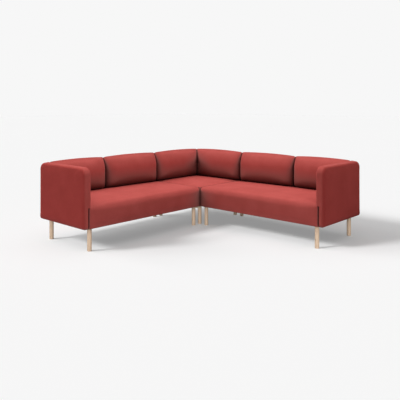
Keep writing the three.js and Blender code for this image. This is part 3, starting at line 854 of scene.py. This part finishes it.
def woven(nodes, place, pitch):
    """Heights of a plain weave on every face, from threads that cross along two of the three axes."""
    scaled = nodes.vector("MULTIPLY", place, (2 * math.pi / pitch,) * 3)[0]
    threads = nodes.axes(nodes.vector("SINE", scaled)[0])
    facing = nodes.normal()
    shares = nodes.axes(nodes.vector("MULTIPLY", facing, facing)[0])
    total = None
    for axis in range(3):
        crossing = nodes.math("MULTIPLY", threads[(axis + 1) % 3], threads[(axis + 2) % 3])
        weighted = nodes.math("MULTIPLY", crossing, shares[axis])
        total = weighted if total is None else nodes.math("ADD", total, weighted)
    return total


def painted_crevice_shade(nodes):
    """How much painted shade a place gets: how far its neighbours hide it, 0 in the open, and less where it
    faces upwards.
    """
    open_share = nodes.add("ShaderNodeAmbientOcclusion", {"Distance": PAINTED_SHADE_REACH}).outputs["AO"]
    hidden = nodes.math("SUBTRACT", 1.0, open_share)
    upward = nodes.math("MAXIMUM", nodes.axes(nodes.normal())["Z"], 0.0)
    return nodes.math("MULTIPLY", hidden, nodes.math("SUBTRACT", 1.0, upward))


def fabric_material(name, shaded_side=None):
    """Terracotta red plain-weave wool with flecks and a soft nap, and painted shade in its hollows and on
    faces that don't face up. Faces turned to its shaded side, where one is given, are painted a darker red as
    painted shade.
    """
    nodes = new_material(name)
    place = nodes.place()
    weave = woven(nodes, place, FABRIC_PITCH)
    patches = nodes.noise(place, scale=6.0, detail=3.0)
    base = nodes.ramp(patches, (0.30, srgb(188, 80, 74)), (0.70, srgb(198, 88, 82)))
    flecks = nodes.noise(place, scale=900.0)
    yarn = nodes.ramp(flecks, (0.30, (0.80, 0.78, 0.78, 1.0)), (0.70, grey(1.12)))
    flecked = nodes.mix(0.5, base, yarn, "MULTIPLY")
    between = nodes.range(weave, -1.0, 1.0, 0.90, 1.06)
    threads = nodes.add("ShaderNodeCombineColor", {0: between, 1: between, 2: between}).outputs[0]
    woven_colour = nodes.mix(0.6, flecked, threads, "MULTIPLY")
    # Painted shade: hidden places and faces that don't face up turn greyer, then darker, in place of the
    # light that they miss
    painted_shade_amount = painted_crevice_shade(nodes)
    shade = nodes.ramp(
        painted_shade_amount,
        (0.05, srgb(188, 106, 100)),
        (0.30, srgb(166, 108, 102)),
        (0.50, srgb(136, 80, 75)),
        (0.68, srgb(104, 56, 52)),
        (0.88, srgb(46, 24, 22)),
    )
    colour = nodes.mix(nodes.range(painted_shade_amount, 0.0, 0.4), woven_colour, shade)
    # Painted shade: faces turned to the arm's outer side are painted darker and redder, in place of the light
    # that side misses
    if shaded_side:
        facing = nodes.vector("DOT_PRODUCT", nodes.normal(), shaded_side)["Value"]
        colour = nodes.mix(nodes.range(facing, 0.3, 0.9), colour, (0.95, 0.66, 0.65, 1.0), "MULTIPLY")
    nodes.shade("Base Color", colour)
    nodes.shade("Roughness", nodes.range(nodes.noise(place, scale=300.0), 0.3, 0.7, 0.82, 0.95))
    nap = nodes.noise(place, scale=500.0, detail=3.0)
    height = nodes.math("ADD", nodes.math("MULTIPLY", weave, 0.00025), nodes.math("MULTIPLY", nap, 0.0003))
    nodes.bump(height, strength=0.5, distance=1.0)
    nodes.shade("Specular IOR Level", 0.25)
    nodes.shade("Sheen Weight", 0.15)
    nodes.shade("Sheen Roughness", 0.5)
    nodes.shade("Sheen Tint", srgb(226, 120, 110))
    return nodes.owner


def grain(nodes, place, along, across):
    """Wood grain drawn out along the piece's height, at one scale along it and one across it."""
    drawn = nodes.vector("MULTIPLY", place, (across, across, along))[0]
    return nodes.noise(drawn, scale=1.0, detail=5.0, roughness=0.6)


def leg_wood_material():
    """Pale oiled beech with fine straight grain and short dark flecks."""
    nodes = new_material("leg_wood")
    place = nodes.place()
    lines = grain(nodes, place, along=9.0, across=260.0)
    base = nodes.ramp(
        lines,
        (0.30, srgb(218, 186, 156)),
        (0.55, srgb(235, 205, 176)),
        (0.75, srgb(242, 216, 190)),
    )
    flecks = grain(nodes, place, along=60.0, across=900.0)
    dark = nodes.ramp(flecks, (0.25, (0.84, 0.80, 0.76, 1.0)), (0.36, grey(1.0)))
    nodes.shade("Base Color", nodes.mix(0.6, base, dark, "MULTIPLY"))
    nodes.shade("Roughness", nodes.range(lines, 0.3, 0.7, 0.42, 0.56))
    nodes.bump(lines, strength=0.25, distance=0.0004)
    return nodes.owner


def plywood_material():
    """Birch plywood: pale faces with soft grain, and a darker glue line at every layer on the edges."""
    nodes = new_material("plywood")
    place = nodes.place()
    lines = grain(nodes, place, along=90.0, across=12.0)
    base = nodes.ramp(lines, (0.30, srgb(188, 158, 116)), (0.70, srgb(208, 182, 142)))
    layers = nodes.vector("MULTIPLY", place, (1 / PLY_LAYER,) * 3)[0]
    depth = nodes.axes(nodes.vector("FRACTION", layers)[0])["Z"]
    glue = nodes.ramp(depth, (0.08, (0.74, 0.66, 0.56, 1.0)), (0.16, grey(1.0)))
    nodes.shade("Base Color", nodes.mix(0.5, base, glue, "MULTIPLY"))
    nodes.shade("Roughness", nodes.range(lines, 0.3, 0.7, 0.6, 0.75))
    nodes.bump(lines, strength=0.2, distance=0.0004)
    return nodes.owner


def webbing_material():
    """Dark elastic webbing with ribs."""
    nodes = new_material("webbing")
    weave = woven(nodes, nodes.place(), WEBBING_PITCH)
    shade = nodes.range(weave, -1.0, 1.0)
    nodes.shade("Base Color", nodes.ramp(shade, (0.2, srgb(44, 42, 38)), (0.8, srgb(74, 70, 64))))
    nodes.shade("Roughness", 0.88)
    nodes.bump(weave, strength=0.4, distance=0.0006)
    return nodes.owner


def dust_cloth_material():
    """Black nonwoven cloth with pressed dots."""
    nodes = new_material("dust_cloth")
    place = nodes.place()
    dots = nodes.add("ShaderNodeTexVoronoi", {"Vector": place, "Scale": 420.0}).outputs["Distance"]
    fibres = nodes.noise(place, scale=700.0, detail=3.0)
    nodes.shade("Base Color", nodes.ramp(fibres, (0.3, srgb(20, 20, 21)), (0.7, srgb(38, 38, 40))))
    nodes.shade("Roughness", nodes.range(fibres, 0.3, 0.7, 0.85, 0.97))
    nodes.bump(dots, strength=0.3, distance=0.0004)
    return nodes.owner


def steel_material():
    """Zinc-plated steel with fine rolling marks."""
    nodes = new_material("steel")
    drawn = nodes.vector("MULTIPLY", nodes.place(), (40.0, 1500.0, 40.0))[0]
    marks = nodes.noise(drawn, scale=1.0, detail=3.0)
    nodes.shade("Base Color", nodes.ramp(marks, (0.3, srgb(142, 143, 146)), (0.7, srgb(168, 169, 172))))
    nodes.shade("Roughness", nodes.range(marks, 0.3, 0.7, 0.32, 0.48))
    nodes.shade("Metallic", 1.0)
    nodes.bump(marks, strength=0.1, distance=0.0002)
    return nodes.owner


materials = {
    "upholstery_fabric": fabric_material("upholstery_fabric"),
    "leg_wood": leg_wood_material(),
    "plywood": plywood_material(),
    "webbing": webbing_material(),
    "dust_cloth": dust_cloth_material(),
    "steel": steel_material(),
}


# Finishing a piece

def finish_piece(piece, node, slot_name="upholstery_fabric", material=None):
    """Shades a piece smooth, gives it its material, hangs it under the root body and hides the solid that it
    stands for.
    """
    piece.data.shade_smooth()
    piece.data.set_sharp_from_angle(angle=math.radians(SHARP_ANGLE))
    piece.data.materials.clear()
    piece.data.materials.append(material or materials[slot_name])
    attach(piece, "root")
    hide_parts(node)


# Cloth simulation

def faded(distance, length):
    """Rises smoothly from 0 to 1 over a length."""
    share = np.clip(distance / length, 0, 1)
    return share * share * (3 - 2 * share)


def seat_freedom(places):
    """A wing's seat may swell on its top and front, and keeps still where something presses on it."""
    along, out, up = places.T
    free = faded(up - LEG_HEIGHT - CLEARANCE, SEAT_FREE_UP) * faded(out - CUSHION_FRONT, SEAT_FREE_OUT)
    beside_corner = faded(along - WING_START - CLEARANCE, SEAT_FREE_JOINT)
    return free * beside_corner * faded(ARM_INNER - along, SEAT_FREE_ARM)


def corner_seat_freedom(places):
    """The corner's seat may swell on its top, clear of the cushions and its neighbours."""
    along, out, up = places.T
    free = faded(up - LEG_HEIGHT - CLEARANCE, SEAT_FREE_UP)
    for value in (along, out):
        free = free * faded(value - CUSHION_FRONT, SEAT_FREE_OUT)
        free = free * faded(MODULE_DEPTH - CLEARANCE - value, SEAT_FREE_JOINT)
    return free


def arm_freedom(places):
    """An arm may swell on its outer face and edges, not where it stands against the seat and cushions."""
    along, _, up = places.T
    off_seat = faded(along - ARM_INNER - ARM_HELD, ARM_FREE_ALONG)
    return off_seat * faded(up - LEG_HEIGHT - CLEARANCE, ARM_FREE_UP)


def cushion_freedom(places):
    """A cushion may swell all round, except where it leans on the back and rests on the seat."""
    _, out, up = places.T
    off_back = faded(out - CUSHION_BACK - CLEARANCE, CUSHION_FREE_OUT)
    return off_back * faded(up - CUSHION_BOTTOM - CLEARANCE, CUSHION_FREE_UP)


def cushion_seam(places):
    """How near a place is to the seam along a cushion's crest, 1 on it."""
    _, out, up = places.T
    away = np.hypot(out - CUSHION_CREST_OUT, CUSHION_TOP - CUSHION_CREST_DROP / 2 - up)
    return np.exp(-(away / CUSHION_SEAM_REACH) ** 2)


def weigh(piece, name, weights):
    """A vertex group with a weight for each point, in even steps."""
    steps_to_one = 20
    group = piece.vertex_groups.new(name=name)
    steps = np.round(weights * steps_to_one).astype(int)
    for step in np.unique(steps):
        group.add(np.flatnonzero(steps == step).tolist(), step / steps_to_one, "REPLACE")
    return group.name


def points_of(mesh):
    """The places of a mesh's points."""
    values = np.empty(3 * len(mesh.vertices))
    mesh.vertices.foreach_get("co", values)
    return values.reshape(-1, 3)


def dress(piece, free, seam):
    """A sewn cover under pressure from its filling: held where it isn't free, drawn in along its seam."""
    cloth = piece.modifiers.new("cover", "CLOTH")
    cloth.settings.quality = COVER_QUALITY
    cloth.settings.mass = COVER_MASS
    cloth.settings.tension_stiffness = COVER_STIFFNESS
    cloth.settings.compression_stiffness = COVER_STIFFNESS
    cloth.settings.shear_stiffness = COVER_STIFFNESS / 2
    cloth.settings.bending_stiffness = COVER_BENDING
    cloth.settings.use_pressure = True
    cloth.settings.uniform_pressure_force = COVER_PRESSURE
    cloth.settings.effector_weights.gravity = 0.0
    cloth.settings.vertex_group_mass = weigh(piece, "held", 1 - free)
    if seam is not None:
        cloth.settings.vertex_group_shrink = weigh(piece, "seam", seam)
        cloth.settings.shrink_min = 0.0
        cloth.settings.shrink_max = CUSHION_SEAM_SHRINK
    cloth.point_cache.frame_start = 1
    cloth.point_cache.frame_end = COVER_FRAMES


def kept_move(start, reached, limit):
    """Where points end that moved from start to reached, when none may move further than the limit."""
    least = 1e-9
    moved = reached - start
    length = np.linalg.norm(moved, axis=1, keepdims=True)
    kept = limit * np.tanh(length / limit) / np.maximum(length, least)
    return start + moved * kept


def settle(covers):
    """Runs the covers together. Each is a piece, its side, what it is free to do and how far it may swell."""
    starts = {}
    for piece, side, freedom, _ in covers:
        places = from_row(side, points_of(piece.data))
        starts[piece.name] = places
        dress(piece, freedom(places), cushion_seam(places) if freedom is cushion_freedom else None)
    scene = bpy.context.scene
    for frame_number in range(1, COVER_FRAMES + 1):
        scene.frame_set(frame_number)
    graph = bpy.context.evaluated_depsgraph_get()
    for piece, side, freedom, limit in covers:
        start = starts[piece.name]
        reached = from_row(side, points_of(piece.evaluated_get(graph).data))
        places = kept_move(start, reached, limit)
        if freedom is cushion_freedom:
            # Neighbours press a cushion's ends flat, in the corner on the slanting joint
            within = np.clip(places[:, 0], start[:, 0].min(), start[:, 0].max())
            places[:, 0] = np.maximum(within, places[:, 1] + CLEARANCE)
        piece.modifiers.clear()
        piece.vertex_groups.clear()
        piece.data.vertices.foreach_set("co", to_row(side, places).ravel())
        piece.data.update()
    scene.frame_set(1)


def subdivided(piece):
    """A finer surface, once the cover has settled."""
    modifier = piece.modifiers.new("finer", "SUBSURF")
    modifier.levels = 1
    modifier.render_levels = 1
    bake_modifiers(piece)


# Padded pieces

covers = []
cushions = []
wing_seats = {}
arms = {}
for side in SIDES:
    wing_seats[side] = make_mesh(f"{side}_seat", side, *wing_seat())
    covers.append((wing_seats[side], side, seat_freedom, SEAT_SWELL))
    arms[side] = arm_body(f"{side}_arm_cover", side)
    covers.append((arms[side], side, arm_freedom, ARM_SWELL))
    for name, node, start, end, mitre in (
        (f"{side}_cushion_inner", f"{side}_back_cushion_inner", CORNER_CUSHION_END, INNER_CUSHION_END, False),
        (f"{side}_cushion_outer", f"{side}_back_cushion_outer", INNER_CUSHION_END, ARM_INNER, False),
        (f"corner_cushion_{side}", f"corner_back_cushion_{side}", CUSHION_BACK, CORNER_CUSHION_END, True),
    ):
        cushion = cushion_mesh(name, side, start + CLEARANCE, end - CLEARANCE, mitre)
        cushions.append((cushion, node))
        covers.append((cushion, side, cushion_freedom, CUSHION_SWELL))
corner_pad = make_mesh("corner_seat", "right", *corner_seat())
covers.append((corner_pad, "right", corner_seat_freedom, SEAT_SWELL))

settle(covers)

for cushion, node in cushions:
    subdivided(cushion)
    finish_piece(cushion, node)

for side in SIDES:
    carve(wing_seats[side], wing_seat_cutters(side))
    finish_piece(wing_seats[side], f"{side}_seat_pad")
    carve(arms[side], arm_cutters(side))
    # Each arm's fabric carries painted shade on its outer side
    arm_fabric = fabric_material(f"{side}_arm_fabric", ARM_SHADED_SIDES[side])
    finish_piece(arms[side], f"{side}_arm", material=arm_fabric)
    panel = back_panel(f"{side}_back", side, WING_START, ARM_INNER - CLEARANCE)
    finish_piece(panel, f"{side}_back_panel")

carve(corner_pad, corner_seat_cutters())
finish_piece(corner_pad, "corner_seat_pad")

right_panel = back_panel("corner_back_right", "right", 0.0, CORNER_END)
carve(right_panel, corner_panel_limits(), "INTERSECT")
finish_piece(right_panel, "corner_back_panel_right")

left_panel = back_panel("corner_back_left", "left", PANEL_FRONT, CORNER_END)
finish_piece(left_panel, "corner_back_panel_left")


# Legs, and the solids that are kept from the CAD

legs = []
for node in list(frame["nodes"]):
    if "_leg_" in node:
        leg = leg_mesh(f"{node}_turned", node)
        finish_piece(leg, node, "leg_wood")
        legs.append(leg)

for row in frame["record"]["subparts"]:
    for material_slot in frame["nodes"][row["node"]].material_slots:
        material_slot.material = materials[row["material_slot"]]


# Floor, light and camera

def floor_material():
    """Pale floor: near white as seen, with some glow in its shadows, and darker where it lights the sofa."""
    nodes = new_material("floor")
    path = nodes.add("ShaderNodeLightPath").outputs
    seen = nodes.math("MAXIMUM", path["Is Camera Ray"], path["Is Glossy Ray"])
    seen = nodes.math("MAXIMUM", seen, path["Is Transmission Ray"])
    lit = FLOOR_SEEN * (1 - FLOOR_GLOW)
    nodes.shade("Base Color", nodes.mix(seen, grey(FLOOR_BOUNCE), grey(lit)))
    nodes.shade("Emission Strength", nodes.math("MULTIPLY", seen, FLOOR_SEEN * FLOOR_GLOW))
    nodes.shade("Emission Color", grey(1.0))
    nodes.shade("Roughness", 1.0)
    nodes.shade("Specular IOR Level", 0.0)
    return nodes.owner


def add_floor():
    """A flat floor to the horizon."""
    reach = FLOOR_REACH
    corners = [(-reach, -reach, 0.0), (reach, -reach, 0.0), (reach, reach, 0.0), (-reach, reach, 0.0)]
    plane = new_object("floor", corners, [(0, 1, 2, 3)])
    plane.data.materials.append(floor_material())
    return plane


def add_world(level, seen_level):
    """A world that lights the scene at one level, and that the camera and reflections see at another."""
    world = bpy.data.worlds.new("studio")
    bpy.context.scene.world = world
    nodes = Nodes(world)
    nodes.tree.nodes.clear()
    path = nodes.add("ShaderNodeLightPath").outputs
    seen = nodes.math("MAXIMUM", path["Is Camera Ray"], path["Is Glossy Ray"])
    light = nodes.add("ShaderNodeBackground", {"Color": grey(1.0), "Strength": level}).outputs[0]
    shown = nodes.add("ShaderNodeBackground", {"Color": grey(seen_level)}).outputs[0]
    choice = nodes.add("ShaderNodeMixShader", {0: seen, 1: light, 2: shown}).outputs[0]
    nodes.add("ShaderNodeOutputWorld", {0: choice})


def add_lamp(data, direction, location, things, state):
    """A lamp that shines from a direction, on some things only (INCLUDE) or on all but them (EXCLUDE)."""
    lamp = bpy.data.objects.new(data.name, data)
    lamp.rotation_mode = "QUATERNION"
    lamp.rotation_quaternion = Vector(direction).to_track_quat("Z", "Y")
    lamp.location = location
    bpy.context.scene.collection.objects.link(lamp)
    receivers = bpy.data.collections.new(f"{data.name}_receivers")
    for thing in things:
        receivers.objects.link(thing)
    for member in receivers.collection_objects:
        member.light_linking.link_state = state
    lamp.light_linking.receiver_collection = receivers


def add_sun(name, level, direction, softness, things, state):
    """A sun whose light falls from a direction; level 1 renders a colour facing it as it is written."""
    data = bpy.data.lights.new(name, "SUN")
    data.energy = level * math.pi
    data.angle = math.radians(softness)
    add_lamp(data, direction, SUN_PLACE, things, state)


def add_softbox(name, things, state):
    """A square lamp in front of the sofa."""
    data = bpy.data.lights.new(name, "AREA")
    data.energy = SOFTBOX_POWER
    data.shape = "SQUARE"
    data.size = SOFTBOX_SIZE
    add_lamp(data, Vector(SOFTBOX_PLACE) - Vector(SOFTBOX_TARGET), SOFTBOX_PLACE, things, state)


def add_camera():
    """The photograph's camera."""
    data = bpy.data.cameras.new("camera")
    data.sensor_width = CAMERA_SENSOR
    data.lens = CAMERA_LENS
    data.shift_x, data.shift_y = CAMERA_SHIFT
    data.clip_end = CAMERA_FAR
    camera = bpy.data.objects.new("camera", data)
    camera.location = CAMERA_PLACE
    camera.rotation_euler = (math.radians(90 - CAMERA_DIP), 0.0, math.radians(CAMERA_TURN))
    bpy.context.scene.collection.objects.link(camera)
    bpy.context.scene.camera = camera


floor = add_floor()
add_world(WORLD_LEVEL, FLOOR_SEEN)
add_sun("sofa_top", *SOFA_TOP, [floor], "EXCLUDE")
add_sun("sofa_key", *SOFA_KEY, [floor], "EXCLUDE")
add_sun("sofa_side", *SOFA_SIDE, [floor, arms["right"]], "EXCLUDE")
add_softbox("sofa_front", [floor], "EXCLUDE")
add_sun("leg_fill", *LEG_FILL, legs, "INCLUDE")
add_sun("floor_top", *FLOOR_TOP, [floor], "INCLUDE")
add_sun("floor_steep", *FLOOR_STEEP, [floor], "INCLUDE")
add_sun("floor_left", *FLOOR_LEFT, [floor], "INCLUDE")
add_sun("floor_low", *FLOOR_LOW, [floor], "INCLUDE")
add_camera()
bpy.context.scene.view_settings.view_transform = "Standard"
